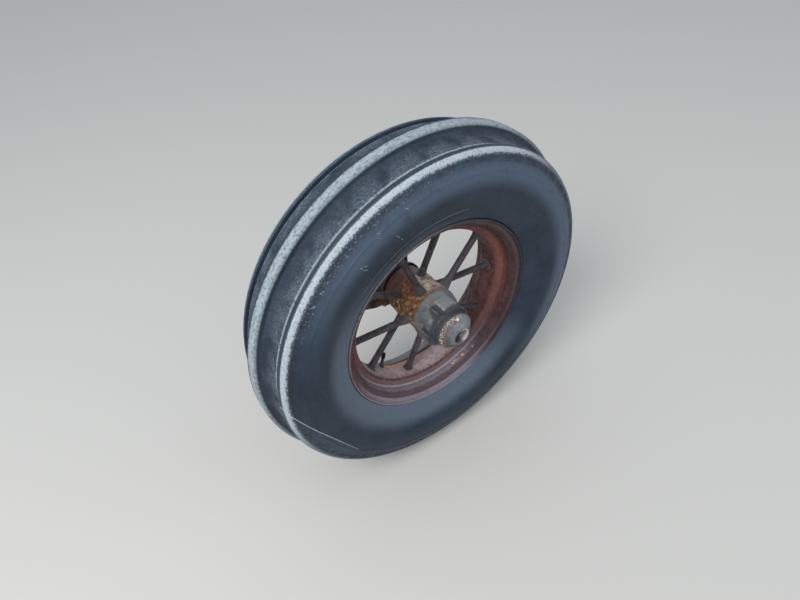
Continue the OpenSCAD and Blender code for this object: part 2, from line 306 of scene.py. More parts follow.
def tyreRubber():
    # Sun-aged natural rubber, moulded smooth: blue-black and satin, chalky where it is
    # scuffed, with dust in the valleys and earth on the edge of the tread.
    material, surface = newMaterial("agedTyreRubber", {"Specular IOR Level": 0.25})
    here, radius, side, angle = wheelPlace(surface)
    apart = addNode(surface, "Math", {0: side}, operation="ABSOLUTE")
    onTread = window(radius, 394, 470, 2)
    fine = grains(here, 3, 0.3, 0.75, detail=6)
    broken = grains(here, 6, 0.34, 0.5, detail=7, rough=0.7)
    cloudy = grains(here, 70, 0.3, 0.7)
    # painted sheen: the bulge is lighter on its upper front, the inner slope and the bead ring on
    # their lower rear
    paintedSheen = product(window(radius, 343, 391, 19), toward(here, 35, -0.4, 0.35),
                    grains(here, 26, 0.1, 0.5, detail=8, rough=0.7))
    inner = product(window(ragged(radius, here, 22, 6), 200, 301, 20),
                    toward(here, -140, -0.35, 0.45),
                    grains(here, 26, 0.05, 0.45, detail=8, rough=0.7))
    paintedBeadSheen = product(window(radius, 200, 268, 12), toward(here, -75, -0.2, 0.6))
    lit = toward(here, -33, 0.12, 0.5)
    cross = ragged(apart, here, 6, 1.6)
    dusting = addNode(surface, "MapRange", {0: apart, 1: 24.0, 2: 62.0, 3: 0.25, 4: 1.0})
    inValley = product(onTread, window(apart, 17, 66, 2))
    speckle = product(grains(here, 4.5, 0.3, 0.72, detail=8, rough=0.7),
                      grains(here, 45, 0.34, 0.58, detail=5))
    ribTop = product(window(radius, 428, 470, 3),
                     addNode(surface, "Math", {0: lit, 1: 0.5, 2: 0.5}, operation="MULTIPLY_ADD"),
                     window(ragged(side, here, 8, 2.5), -6, 18, 2.5),
                     grains(here, 7, 0.2, 0.6, detail=7, rough=0.7))
    stripe = product(onTread, window(cross, 81.5, 100, 1.2),
                     window(ragged(apart, here, 5, 4.5), 60, 90.6, 0.7),
                     addNode(surface, "Math", {0: lit, 1: 0.75, 2: 0.25}, operation="MULTIPLY_ADD"),
                     grains(here, 5, 0.2, 0.55, detail=7, rough=0.7))
    earth = product(window(ragged(radius, here, 14, 9), 386, 403, 5),
                    window(apart, 90, 110, 1.5), grains(here, 12, 0.35, 0.6))
    # torn pale ends hang from the stripe over the shoulder
    shreds = product(window(radius, 384, 402, 4), window(side, 88, 110, 1.5),
                     toward(here, -32, 0.78, 0.97),
                     grains(here, 5, 0.56, 0.66, detail=7, rough=0.7))
    coats = [
        (tyre["bloom"], cloudy, 0.3),
        # painted sheen: lighter bands on the bulge, the bead ring and the inner slope
        (tyre["paintedSheen"], paintedSheen, 0.72),
        (tyre["inner"], paintedBeadSheen, 0.5),
        (tyre["inner"], inner, 0.85),
        (tyre["bloom"], grains(here, 9, 0.5, 0.75, detail=7, rough=0.7), 0.35),
        (tyre["valley"], inValley),
        (tyre["dust"], inValley, dusting, speckle, 0.75),
        (tyre["edge"], onTread, window(apart, 72, 84, 1), fine),
        # painted highlight: a pale line along the groove's edge, broken by nicks
        (tyre["scuff"], onTread, window(cross, 62.9, 65.9, 0.8), broken, 0.65),
        # painted shadow: a dark line in the groove at the shoulder rib's foot
        (tyre["paintedGrooveShadow"], onTread, window(side, 66.4, 72.2, 0.6), 0.92),
        (tyre["valley"], onTread, window(side, 71.5, 80.5, 0.8), 0.75),
        (tyre["earth"], earth, 0.5),
        (tyre["scuff"], shreds, 0.6),
        (tyre["ribTop"], ribTop),
        (tyre["edge"], onTread, window(cross, 80, 92, 1), 0.6),
        (tyre["scuff"], stripe),
    ]
    outward = window(side, 60, 110, 4)
    coats += dustWedge(here, radius, angle, outward, broken)
    # a fine moulded line above the bead, worn pale
    coats.append((tyre["scratch"], outward, window(radius, 285.2, 287, 0.5),
                  window(angle, -45, 12, 3), broken, 0.7))
    coats += [(tyre["scratch"], outward, scratchMask(radius, angle, *mark), 0.85)
              for mark in tyre["marks"]]
    coated(surface, tyre["rubber"], coats)
    roughened(surface, 0.42, [(0.5, cloudy), (0.7, inValley), (0.85, stripe), (0.8, ribTop),
                              (0.85, earth)])
    relief(surface, [(0.25, fine, onTread), (0.2, cloudy), (0.25, stripe), (0.2, ribTop),
                     (0.05, grains(here, 1.6, 0.3, 0.7))])
    return material


def tyreOutline():
    crown = [
        (435, 0, 0), (435, 12.2, 3.2), (417, 17, 7), (412.5, 40, 22), (409.6, 64.5, 3),
        (404.6, 67.0, 0.8), (404.8, 69.6, 0.8), (413.4, 72, 2), (412, 79, 4), (406.8, 89, 3),
    ]
    side = [(401, 91.5), (394, 94.4), (384, 98.1), (376, 100.2), (372.2, 100.9), (370.4, 102.1),
            (368.4, 102.2), (366.4, 101.6), (358, 102.6), (345, 103.35), (331, 102.6),
            (319, 100.4), (306, 96.9), (293, 92.4), (281, 87.2), (269, 82), (261, 78.9)]
    bead = [
        (257.4, 77.3, 2), (252.6, 75.2, 2), (251.2, 73, 1), (250.6, 69.2, 1), (247.6, 65, 1),
        (243, 63, 1), (236, 63, 1), (232.4, 60, 1), (230.2, 55.5, 1), (228.2, 43.8, 1.5),
        (231.6, 41.9, 2), (244.6, 51, 8), (285, 77.5, 20), (343, 90.5, 30), (383, 77.5, 20),
        (399, 40, 30), (399.5, 0, 0),
    ]
    outer = softOutline(crown, closed=False) + smoothCurve(side, 4)
    outer += softOutline(bead, closed=False, steps=4)
    return outer + [Vector((p.x, -p.y)) for p in outer[-2:0:-1]]


def tyreWear(r, side, angle):  # chipped rib edges and a slightly uneven casing
    where = place(r, side, angle)
    chip = 0.0
    if r > 405:
        depth = tyre["ribChips"] if r > 425 else tyre["shoulderChips"]
        chip = -max(0.0, noise.noise(where * 60) - 0.36) * depth
    if abs(side) > 80 and r > 270:
        return chip, 0.4 * noise.noise(where * 9) - 0.25
    return chip, 0


turned("ribbedTyre", tyreOutline(), tyre["columns"], tyreRubber(), ("tyre",),
       tyreWear)
print("tyre made")


rim = {
    "paint": "#512a2a", "dark": "#2e1719", "rust": "#633630", "rustPale": "#8a5a4c",
    "dust": "#b5a2a4", "bedRust": "#b0754c", "lip": "#8a8390", "crest": "#76747a",
    "shade": "#33222a", "seat": "#756c76", "line": "#9a9296", "weld": "#75747a",
    "wall": "#6c423d", "paintedLipShade": "#4c393b", "rustAndPaintedLight": "#964f38", "speck": "#dcb48e",
    "far": "#8d8c92", "paintedLipShadow": "#23232d", "columns": 360, "bed": 203,
}


def nicks(here):  # the small breaks in a worn edge
    return grains(here, 7, 0.3, 0.5, detail=7, rough=0.7)


def rustedRimPaint():
    # Old maroon enamel on rolled steel: rusted through in patches, dusty where it lies flat
    # at the bottom, and pale on its turns. A painted highlight runs along the crest; the front of
    # the well wall has painted light, and the front of the web and lip painted shade.
    material, surface = newMaterial("rustedRimEnamel", {})
    here, radius, side, _ = wheelPlace(surface)
    apart = addNode(surface, "Math", {0: side}, operation="ABSOLUTE")
    low = toward(here, -165, 0.25, 0.9)
    patches = grains(here, 42, 0.44, 0.6, detail=8, rough=0.65, distort=0.4)
    blots = grains(here, 17, 0.45, 0.6, detail=8, rough=0.65)
    specks = grains(here, 6, 0.42, 0.62, detail=7)
    scabs = grains(here, 10, 0.52, 0.62, detail=6)
    about = roundPlace(here, radius, side, 60)
    streaks = grains(about, 5, 0.36, 0.66, detail=7, rough=0.65)
    wanderR = ragged(radius, here, 12, 2.2)
    wanderS = ragged(side, here, 15, 5)
    bed = product(window(radius, 190, 206.5, 1), window(side, -20, 31, 2))
    bedLow = toward(here, -155, 0.53, 0.8)
    bedEdge = product(bed, toward(here, -158, 0.93, 0.985), window(wanderS, -26, -9, 3))
    inboard = window(side, -90, -20.5, 1)
    wall = product(window(wanderR, 203.5, 219, 1.5), window(side, 24, 41, 2))
    seatBand = product(window(wanderR, 218.5, 226.5, 1.5), window(side, 38, 58, 2))
    web = window(radius, 226.8, 237, 1.6)
    lip = window(radius, 236.4, 252, 1.2)
    outer = window(side, 20, 90, 4)
    coats = [
        (rim["dark"], patches, 0.8),
        (rim["rust"], blots, 0.6),
        (rim["rustPale"], scabs, patches, 0.25),
        (rim["dust"], bed, bedLow, 0.88),
        (rim["wall"], bed, bedLow, blots, 0.4),
        (rim["bedRust"], bedEdge, 0.85),
        (rim["speck"], bedEdge, specks, 0.9),
        (rim["wall"], wall, 0.8),
        (rim["seat"], wall, low, 0.45),
        (rim["shade"], window(wanderR, 205.5, 209.5, 1.2), window(side, 29, 38, 1.5), bedLow, 0.75),
        (rim["dark"], wall, streaks, specks, 0.5),
        (rim["rustPale"], wall, scabs, low, 0.6),
        # rust and painted light: a bright orange band on the well wall and seat towards the front
        (rim["rustAndPaintedLight"], window(wanderR, 209, 223.5, 3), window(side, 24, 50, 3),
         toward(here, 76, 0.84, 0.99), streaks, 0.75),
        (rim["seat"], seatBand, low, 0.9),
        (rim["dark"], seatBand, streaks, specks, 0.6),
        (rim["line"], window(radius, 219.2, 222.6, 0.8), window(apart, 36, 44, 1.5),
         low, nicks(here), 0.8),
        (rim["line"], window(ragged(side, here, 9, 1.5), 50, 53.5, 1), seatBand, low, streaks, 0.5),
        (rim["speck"], seatBand, toward(here, 158, 0.95, 0.99), scabs, specks, 0.9),
        (rim["seat"], web, low, 0.5),
        (rim["shade"], web, window(apart, 55, 70, 2), 0.45),
        # painted shade: the web darker towards the front
        (rim["dark"], web, toward(here, 70, 0.2, 0.7), 0.4),
        (rim["lip"], lip, outer, low, 0.85),
        (rim["paint"], lip, outer, streaks, specks, 0.5),
        # painted shade: the lip darker towards the front
        (rim["paintedLipShade"], lip, outer, toward(here, 60, 0, 0.5), 0.75),
        (rim["shade"], seatBand, window(side, 50, 60, 3), toward(here, 75, 0, 0.7), 0.6),
        # painted highlight: a pale line along the crest, broken by nicks
        (rim["crest"], window(radius, 248.4, 256, 0.5), nicks(here), 0.9),
        # painted shadow: a dark band over the crest and its curl towards the front
        (rim["paintedLipShadow"], window(radius, 244.5, 256, 1.5), outer, toward(here, 75, 0, 0.6), 0.85),
        (rim["shade"], inboard, window(radius, 196, 222, 4), low, 0.7),
        (rim["far"], inboard, window(radius, 220.5, 262, 2), low, 0.85),
        # painted highlight: the crest paler still at the bottom
        (rim["line"], window(radius, 248.4, 256, 0.5), low, nicks(here), 0.5),
    ]
    coated(surface, rim["paint"], coats)
    roughened(surface, 0.45, [(0.85, patches), (0.85, scabs), (0.9, low)])
    relief(surface, [(0.35, patches), (0.3, specks), (0.25, scabs),
                     (0.1, grains(here, 2, 0.3, 0.7))])
    return material


def rimOutline():
    flange = [
        (226, 39.5, 4), (229.2, 56, 3), (231.5, 60.5, 2), (236, 63.4, 2), (243, 63.4, 2.5),
        (247.2, 65.6, 2), (250, 69.5, 2.5), (250.7, 73.5, 2), (250.3, 76.5, 1), (248.4, 77.7, 1),
        (246.2, 77, 0.8), (246.4, 72.6, 2), (244.2, 69.4, 2.5), (240.5, 67.5, 2), (236, 67.5, 3),
        (231.8, 65.1, 2.5), (228.2, 61.3, 2.5), (225.2, 56.7, 3), (222, 41.5, 3),
    ]
    inboard = [(r, -side, size) for r, side, size in reversed(flange)]
    bed = [(rim["bed"], 30, 3), (rim["bed"], -18, 3)]
    return softOutline([(207, 27.8, 3)] + flange + bed + inboard + [(207, -15.8, 3)], steps=4)


def rimWear(r, side, angle):  # a wavy, knocked lip and a pitted sheet
    where = place(r, side, angle)
    pit = 0.25 * min(0.0, noise.noise(where * 160))
    if abs(side) < 66:
        return pit, 0
    return pit + 0.4 * noise.noise(where * 14) - 0.2, 0.7 * noise.noise(where * 11)


turned("dropCentreRim", rimOutline(), rim["columns"], rustedRimPaint(), ("rim",),
       rimWear)
print("rim made")


spokes = {
    "bar": 8, "hubRadius": 54, "rimRadius": 203.6, "count": 5, "columns": 26,
    # how much thicker the bar is as it nears its foot: share of the length, mm
    "foot": ((0.87, 0), (0.91, 0.2), (0.94, 0.7), (0.965, 1.4), (0.985, 2.0), (1.0, 2.3)),
    "beads": 16, "beadSize": 2.2, "paintedBeadSheen": 3.4, "beadRadius": 202.6,
    # each row: its piece, its node, its side at the hub and at the rim, its first angle
    "rows": (("outerSpokes", "outer_spokes", 26, 6, wheel["outerFirst"]),
             ("innerSpokes", "inner_spokes", -23, 1, wheel["innerFirst"])),
    "steel": "#332d32", "pale": "#585259", "rust": "#4b312d", "dark": "#1e1a1d",
}


def weatheredBar():
    # Hot-rolled round bar with the last of its paint: dull purple-brown, rust in the pits.
    material, surface = newMaterial("weatheredRoundBar", {})
    here = addNode(surface, "TexCoord", output="Object")
    pits = grains(here, 6, 0.5, 0.64, detail=6)
    scale = grains(here, 22, 0.45, 0.66, detail=6)
    coats = [
        (spokes["pale"], grains(here, 35, 0.35, 0.7, detail=6), 0.6),
        (spokes["dark"], grains(here, 12, 0.5, 0.68, detail=5), 0.6),
        (spokes["rust"], scale, 0.3),
        (spokes["rust"], pits, 0.4),
    ]
    coated(surface, spokes["steel"], coats)
    roughened(surface, 0.5, [(0.85, pits), (0.8, scale)])
    relief(surface, [(0.2, pits), (0.25, scale), (0.12, grains(here, 2, 0.3, 0.7))])
    return material


def weldSteel():
    # Weld metal round the spokes' feet: grey blobs of bead with rust between them.
    material, surface = newMaterial("greyWeldBead", {"Metallic": 0.3})
    here = addNode(surface, "TexCoord", output="Object")
    rusty = grains(here, 6, 0.42, 0.6, detail=6)
    coats = [(spokes["rust"], rusty, 0.5), (rim["dark"], grains(here, 10, 0.5, 0.7), 0.6)]
    coated(surface, rim["weld"], coats)
    roughened(surface, 0.5, [(0.85, rusty)])
    relief(surface, [(0.3, grains(here, 3, 0.3, 0.7))])
    return material


def addBead(points, faces, middle, size):  # one lump of weld: a low, uneven ball
    first = len(points)
    rows, columns = 5, 8
    for i in range(1, rows):
        up = math.pi * i / rows
        for j in range(columns):
            turn = 2 * math.pi * j / columns
            out = Vector((math.sin(up) * math.cos(turn), math.sin(up) * math.sin(turn),
                          math.cos(up)))
            points.append(middle + out * size * mm * (1 + 0.3 * noise.noise((middle + out) * 3)))
    points += [middle + Vector((0, 0, size * mm)), middle - Vector((0, 0, size * mm))]
    faces += gridFaces(rows - 1, columns, False, first)
    top, last = len(points) - 2, first + (rows - 2) * columns
    for j in range(columns):
        faces.append((top, first + (j + 1) % columns, first + j))
        faces.append((top + 1, last + j, last + (j + 1) % columns))


def makeSpokes():
    barMaterial = weatheredBar()
    beadPoints, beadFaces = [], []
    bar = spokes["bar"]
    rings = [(0, bar), (0.05, bar)] + [(0.1 + 0.06 * k, bar) for k in range(13)]
    rings += [(share, bar + extra) for share, extra in spokes["foot"]]
    for name, node, hubSide, rimSide, firstAngle in spokes["rows"]:
        points, faces = [], []
        for i in range(spokes["count"]):
            angle = firstAngle + i * wheel["rowStep"]
            start = place(spokes["hubRadius"], hubSide, angle)
            end = place(spokes["rimRadius"], rimSide, angle)
            addBar(points, faces, start, end, rings, spokes["columns"], uneven=0.05)
            for k in range(spokes["beads"]):
                turn = 2 * math.pi * k / spokes["beads"]
                uneven = 0.8 * noise.noise(Vector((i, k, hubSide)) * 0.7)
                spread = bar + spokes["paintedBeadSheen"] + uneven
                around = math.degrees(spread * math.sin(turn) / rim["bed"])
                foot = place(spokes["beadRadius"], rimSide + spread * math.cos(turn),
                             angle + around)
                size = spokes["beadSize"] + 0.6 * noise.noise(foot * 300)
                addBead(beadPoints, beadFaces, foot, size)
        makePiece(name, points, faces, barMaterial, "wheel", (node,))
    makePiece("spokeWelds", beadPoints, beadFaces, weldSteel(), "wheel")


makeSpokes()
print("spokes made")


hub = {
    "ochre": "#82583a", "yellow": "#dcb56c", "rust": "#6b4029", "tan": "#dcc6b2",
    "umber": "#30231f", "pink": "#8f7b76", "black": "#1d1716", "grey": "#565d60",
    "pale": "#7b8082", "green": "#566060", "boss": "#454246", "neck": "#32343b",
    "maroon": "#5d3a33", "edge": "#a3a7a8", "paintedHollowShade": "#34373b", "patch": "#7d6866",
    "low": "#393437",
    "profile": ((-86, 50), (-83, 52), (-64, 52), (-55, 58), (-27, 59), (2, 57), (26, 59),
                (42, 59), (50, 62), (56, 63.5), (88, 63.5), (94, 62), (99, 58.5),
                (102.5, 52.5), (105, 48.5), (109, 47.5), (118, 47), (122, 45.8)),
    "columns": 380, "step": 1.5, "barrel": 60,
    # the nose's flats: the first one's angle, their pitch, their distance from the middle
    "flatAngle": -16, "flatStep": 72, "flat": 52, "blend": 2.4,
    "flatFrom": 45, "slopeEnd": 58, "slopeRise": 8.5,
    # the round hollow down each flat: its axis, where it starts, widens and ends
    "hollowAxis": 68, "hollowFirst": 9, "hollowSize": 20, "hollowFrom": 46, "hollowFull": 68,
    "hollowEnd": 104, "hollowBlend": 1.2,
    # each row's bosses: their radius, and their share of the spokes' length
    "bossRadii": (13.6, 11), "bossShare": 0.24,
    "filletReach": 20, "filletTop": 10, "filletRise": 2.0,
    "lean": 2.4, "leanAngle": -118, "leanFrom": 45, "leanOver": 25,
    # the nose's mouth and the bore behind it, which the cap, plug and seal close
    "inside": ((38, 122), (38, 110), (17.1, 106), (17.1, 66), (40, 56), (40, -18),
               (24.1, -28), (24.1, -86)),
}


def hubCasting():
    # Cast iron: black grease at the inner end, chipped ochre paint and rust on the barrel,
    # a greasy grey skin on the nose that is pale along its ridges, with painted light on its upper
    # front and painted shade on its lower rear and in its hollows.
    material, surface = newMaterial("greasyHubCasting", {})
    here, radius, side, angle = wheelPlace(surface)
    chips = grains(here, 21, 0.46, 0.56, detail=9, rough=0.72)
    blots = grains(here, 12, 0.52, 0.6, detail=8, rough=0.7)
    flakes = grains(here, 9, 0.52, 0.6, detail=3, rough=0.5)
    mottle = grains(here, 22, 0.36, 0.62, detail=6)
    smears = grains(here, 9, 0.42, 0.66, detail=6, stretch=(1, 0.35, 1))
    scuffs = grains(here, 6, 0.34, 0.56, detail=7, rough=0.65)
    wander = ragged(side, here, 20, 10)
    worn = product(window(angle, -8, 60, 12), window(wander, -78, 44, 5))
    nose = window(ragged(side, here, 12, 3), 46, 400, 2)
    neck = window(ragged(side, here, 10, 2), 99, 123, 3)
    boss = product(window(radius, 60.5, 120, 1.5), window(side, -46, 44, 2))
    turn = flatTurn(angle)
    slant = addNode(surface, "Math", {0: side, 1: -50.0}, operation="ADD")
    slant = addNode(surface, "Math", {0: slant, 1: 0.3, 2: ragged(turn, here, 9, 3)},
                    operation="MULTIPLY_ADD")
    inHollow = product(window(slant, -15, 40, 4), window(turn, -60, 4, 6),
                       window(ragged(side, here, 14, 4), 66, 104, 7))
    coats = [
        (hub["rust"], chips, 0.85),
        (hub["umber"], blots, 0.8),
        (hub["yellow"], flakes, toward(here, -105, 0.6, 0.95), 0.9),
        (hub["yellow"], flakes, 0.3),
        (hub["maroon"], window(wander, -400, -34, 6), toward(here, -80, 0, 0.6), 0.85),
        (hub["pink"], worn),
        (hub["tan"], worn, window(wander, -34, 30, 8), grains(here, 9, 0.4, 0.55), 0.95),
        (hub["rust"], worn, blots, 0.7),
        (hub["boss"], boss, 0.92),
        (hub["green"], boss, window(radius, 50, 68, 4), mottle, 0.7),
        (hub["grey"], nose),
        # painted shade: the nose darker towards the lower rear
        (hub["low"], nose, toward(here, -120, 0.2, 1.0), 0.75),
        (hub["pale"], nose, mottle, 0.55),
        (hub["pink"], nose, smears, 0.3),
        # painted light: the nose paler towards the upper front
        (hub["pale"], nose, toward(here, 25, 0.3, 0.9), 0.8),
        # painted shade in the nose's hollows
        (hub["paintedHollowShade"], inHollow, 0.9),
        (hub["patch"], window(ragged(side, here, 8, 4), 48, 68, 3),
         window(ragged(turn, here, 8, 5), -8, 8, 3), scuffs, 0.9),
        (hub["edge"], window(ragged(turn, here, 12, 1.5), 3.5, 8, 1.5),
         window(side, 64, 97, 4), scuffs, 0.85),
        (hub["edge"], window(ragged(turn, here, 9, 2), -17, -13, 1.2),
         window(side, 56, 92, 5), scuffs, 0.45),
        (hub["neck"], neck, 0.95),
        (hub["black"], window(ragged(side, here, 10, 3), -400, -77, 2), 0.94),
    ]
    coated(surface, hub["ochre"], coats)
    roughened(surface, 0.8, [(0.5, nose), (0.8, nose, flakes), (0.45, neck)])
    relief(surface, [(0.6, chips), (0.4, flakes), (0.5, mottle),
                     (0.3, grains(here, 3, 0.3, 0.7, detail=5))])
    return material


def flatTurn(angle):  # degrees from the middle of the nearest flat of the nose
    half = hub["flatStep"] / 2
    turn = addNode(angle, "Math", {0: angle, 1: half - hub["flatAngle"] + 360}, operation="ADD")
    turn = addNode(angle, "Math", {0: turn, 1: hub["flatStep"]}, operation="MODULO")
    return addNode(angle, "Math", {0: turn, 1: -half}, operation="ADD")


def fromNearest(angle, first, step):  # the turn, in radians, from the nearest of a ring
    return math.radians((angle - first + step / 2) % step - step / 2)


def softMin(a, b, blend):
    gap = abs(a - b)
    return min(a, b) - ((blend - gap) ** 2 / (4 * blend) if gap < blend else 0)


def hubRadius(side, angle):
    profile = hub["profile"]
    radius = profile[-1][1]
    for (s0, r0), (s1, r1) in zip(profile, profile[1:]):
        if side <= s1:
            radius = r0 + (r1 - r0) * max(0.0, (side - s0) / (s1 - s0))
            break
    if side > hub["flatFrom"]:
        away = fromNearest(angle, hub["flatAngle"], hub["flatStep"])
        slope = max(0.0, (hub["slopeEnd"] - side) / (hub["slopeEnd"] - hub["flatFrom"]))
        flat = hub["flat"] + hub["slopeRise"] * slope
        radius = softMin(radius, flat / math.cos(away), hub["blend"])
        widened = (side - hub["hollowFrom"]) / (hub["hollowFull"] - hub["hollowFrom"])
        cut = hub["hollowFirst"] + (hub["hollowSize"] - hub["hollowFirst"]) * min(1.0, widened)
        inside = cut ** 2 - (hub["hollowAxis"] * math.sin(away)) ** 2
        if inside > 0 and side < hub["hollowEnd"]:
            wall = hub["hollowAxis"] * math.cos(away) - math.sqrt(inside)
            radius = softMin(radius, wall, hub["hollowBlend"])
    # a cast fillet rises round each boss
    reach, top = hub["filletReach"], hub["filletTop"]
    for *_, hubSide, _, firstAngle in spokes["rows"]:
        away = fromNearest(angle, firstAngle, wheel["rowStep"])
        off = math.hypot(side - hubSide, hub["barrel"] * away)
        if off < reach:
            radius += hub["filletRise"] * min(1.0, (reach - off) / (reach - top)) ** 2
    return radius


def noseLean(side):  # the nose and its cap stand a little off the barrel's middle
    share = min(1.0, max(0.0, (side - hub["leanFrom"]) / hub["leanOver"]))
    turn = math.radians(hub["leanAngle"])
    return Vector((math.sin(turn), 0, math.cos(turn))) * hub["lean"] * share * mm


def noseRing(reach, side, columns):
    return [place(reach, side, 360 * j / columns) + noseLean(side) for j in range(columns)]


def makeHub():
    columns = hub["columns"]
    back, front = hub["profile"][0][0], hub["profile"][-1][0]
    sides = [back + hub["step"] * k for k in range(int((front - back) / hub["step"]) + 1)]
    sides.append(front)
    points = noseRing(30, back, columns)
    for side in sides:
        for j in range(columns):
            angle = 360 * j / columns
            where = place(hub["barrel"], side, angle)
            lump = 0.5 * noise.noise(where * 45) + 0.3 * noise.noise(where * 140) - 0.2
            points.append(place(hubRadius(side, angle) + lump, side, angle) + noseLean(side))
    for reach, side in hub["inside"]:
        points += noseRing(reach, side, columns)
    faces = gridFaces(1 + len(sides) + len(hub["inside"]), columns, False)
    # bosses that taper down to their spokes
    for (*_, hubSide, rimSide, firstAngle), size in zip(spokes["rows"], hub["bossRadii"]):
        taper = size - spokes["bar"] - 0.1
        rings = [(k / 7, size - taper * (k / 7) ** 1.2) for k in range(8)]
        for i in range(spokes["count"]):
            angle = firstAngle + i * wheel["rowStep"]
            start, end = place(50, hubSide, angle), place(rim["bed"], rimSide, angle)
            addBar(points, faces, start, start.lerp(end, hub["bossShare"]), rings, 30, uneven=0.08)
    makePiece("castHub", points, faces, hubCasting(), "wheel", ("hub",))


makeHub()
print("hub made")


seal = {"rubber": "#161414", "grease": "#2c2623", "columns": 160,
        "outline": ((30, -86.2, 0), (52.2, -86.2, 0.4), (52.2, -78.4, 0.4), (55.6, -78.4, 0.8),
                    (56.8, -80, 0.8), (56.8, -86.6, 1), (55, -88, 1), (40, -87.4, 2),
                    (36, -88, 1), (30, -87.8, 0.6))}


def greasySeal():
    # A nitrile lip seal under road grease: black and half shiny.
    material, surface = newMaterial("nitrileSealRubber", {})
    here = addNode(surface, "TexCoord", output="Object")
    smear = grains(here, 12, 0.4, 0.65, detail=5)
    coated(surface, seal["rubber"], [(seal["grease"], smear)])
    roughened(surface, 0.35, [(0.75, smear)])
    relief(surface, [(0.3, smear)])
    return material


turned("gaiterSeal", softOutline(seal["outline"]), seal["columns"], greasySeal(),
       ("hub_seal",))


cap = {
    "paint": "#5d6166", "pale": "#7f8185", "grime": "#413f42", "flake": "#b9b5a6",
    "cream": "#e6d3bd", "rust": "#634a42", "bright": "#b8b2b5", "columns": 160,
    "bigFleck": (41, 132.5, 1),  # radius, side, angle of the largest flake
    "outline": ((36, 112, 0), (37.9, 112, 0), (37.9, 122.1, 0.4), (45.2, 122.1, 0.8),
                (45.4, 124.6, 1.2), (43.5, 126.6, 1.5), (40, 130.5, 3), (34, 136, 4), (26, 143, 3),
                (22.5, 146, 2), (20.4, 146.9, 0.8), (18.5, 146.7, 0.6), (18.05, 145.8, 0.5),
                (18.05, 135.1, 0.3), (0.5, 135.1, 0)),
}


def capPaint():
    # A cast cap under grey paint and grease, with flakes of old paint left round its seat.
    material, surface = newMaterial("greasedCapPaint", {})
    here, radius, side, angle = wheelPlace(surface)
    grime = grains(here, 9, 0.48, 0.64, detail=6)
    left = window(angle, -125, 12, 10)
    flakes = product(window(ragged(side, here, 6, 5), 120, 130, 1.0), left,
                     grains(here, 3.4, 0.51, 0.56, detail=5, rough=0.6))
    big = addNode(surface, "VectorMath", {0: here, 1: tuple(place(*cap["bigFleck"]))},
                  output="Value", operation="DISTANCE")
    big = addNode(surface, "Math", {0: big, 1: 1 / mm}, operation="MULTIPLY")
    big = window(ragged(big, here, 5, 2), -9, 4.6, 1.4)
    hole = window(radius, 0, 18.6, 0.5)
    coats = [
        # painted light: the cap paler towards the upper front
        (cap["pale"], toward(here, 30, 0.1, 0.9), 0.75),
        (cap["pale"], grains(here, 16, 0.4, 0.66, detail=5), 0.3),
        # painted shade: the dome darker towards the lower rear
        (cap["grime"], toward(here, -125, 0.45, 0.95), window(side, 120, 141, 3), 0.85),
        (cap["grime"], grime, 0.5),
        (cap["rust"], left, window(ragged(side, here, 8, 4), 117, 135, 2),
         grains(here, 8, 0.36, 0.5, detail=6), 0.85),
        (cap["flake"], flakes),
        (cap["cream"], big),
        (cap["bright"], hole, 0.9),
    ]
    coated(surface, cap["paint"], coats)
    roughened(surface, 0.45, [(0.7, grime), (0.85, flakes)])
    relief(surface, [(0.4, flakes), (0.3, grime), (0.3, grains(here, 6, 0.3, 0.7))])
    return material


def capWear(r, side, angle):  # the cap is knocked about
    where = place(r, side, angle)
    if r < 20 or side < 124:  # the seat and the plug's hole stay true
        return 0, 0
    dent = 0.5 * noise.noise(where * 40) - 0.3 if side > 128 else 0
    return 0.6 * noise.noise(where * 55), dent


turned("hubCap", softOutline(cap["outline"], closed=False, steps=4), cap["columns"], capPaint(),
       ("hub_cap",), capWear, closed=False, lean=noseLean)


def wornMetal(name, colour, grimeColour, rough, metallic=0.85, paintedShadowSide=None):
    # Machined steel or bronze rubbed bright by use, with grease in what the rubbing leaves.
    material, surface = newMaterial(name, {"Metallic": metallic})
    here = addNode(surface, "TexCoord", output="Object")
    grime = grains(here, 6, 0.45, 0.65, detail=6)
    coats = [(grimeColour, grime, 0.85)]
    # painted shadow: with a side given, the metal is darker towards it
    if paintedShadowSide is not None:
        coats.append((grimeColour, toward(here, paintedShadowSide, -0.85, -0.2), 0.9))
    coated(surface, colour, coats)
    roughened(surface, rough, [(0.7, grime)])
    relief(surface, [(0.1, grime), (0.06, grains(here, 2.5, 0.3, 0.7))])
    return material


def dress(name, material, bevelMm=0.0):  # a solid keeps its form and gets rounded edges
    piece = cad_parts[name]
    piece.data.materials.clear()
    piece.data.materials.append(material)
    if bevelMm:
        edge = piece.modifiers.new("brokenEdges", "BEVEL")
        edge.width = bevelMm * mm
        edge.segments = 3
        edge.limit_method = "ANGLE"
        edge.angle_limit = math.radians(35)
        edge.harden_normals = True
    return piece


plug = {
    # the plug is painted darker on its upper rear side: a painted shadow under the cap's lip
    "steel": "#8b8588", "grease": "#262224", "paintedShadowSide": -62, "columns": 96,
    "outline": ((0.5, 135.2), (17.9, 135.2), (17.9, 137.8), (17.4, 138.5), (16.3, 138.8)),
    # the square socket for its key: half its width, then each step's share of that and side
    "socket": 5.5, "socketSteps": ((1.14, 138.8), (1.0, 138.2), (1.0, 136.2), (0.05, 136)),
}


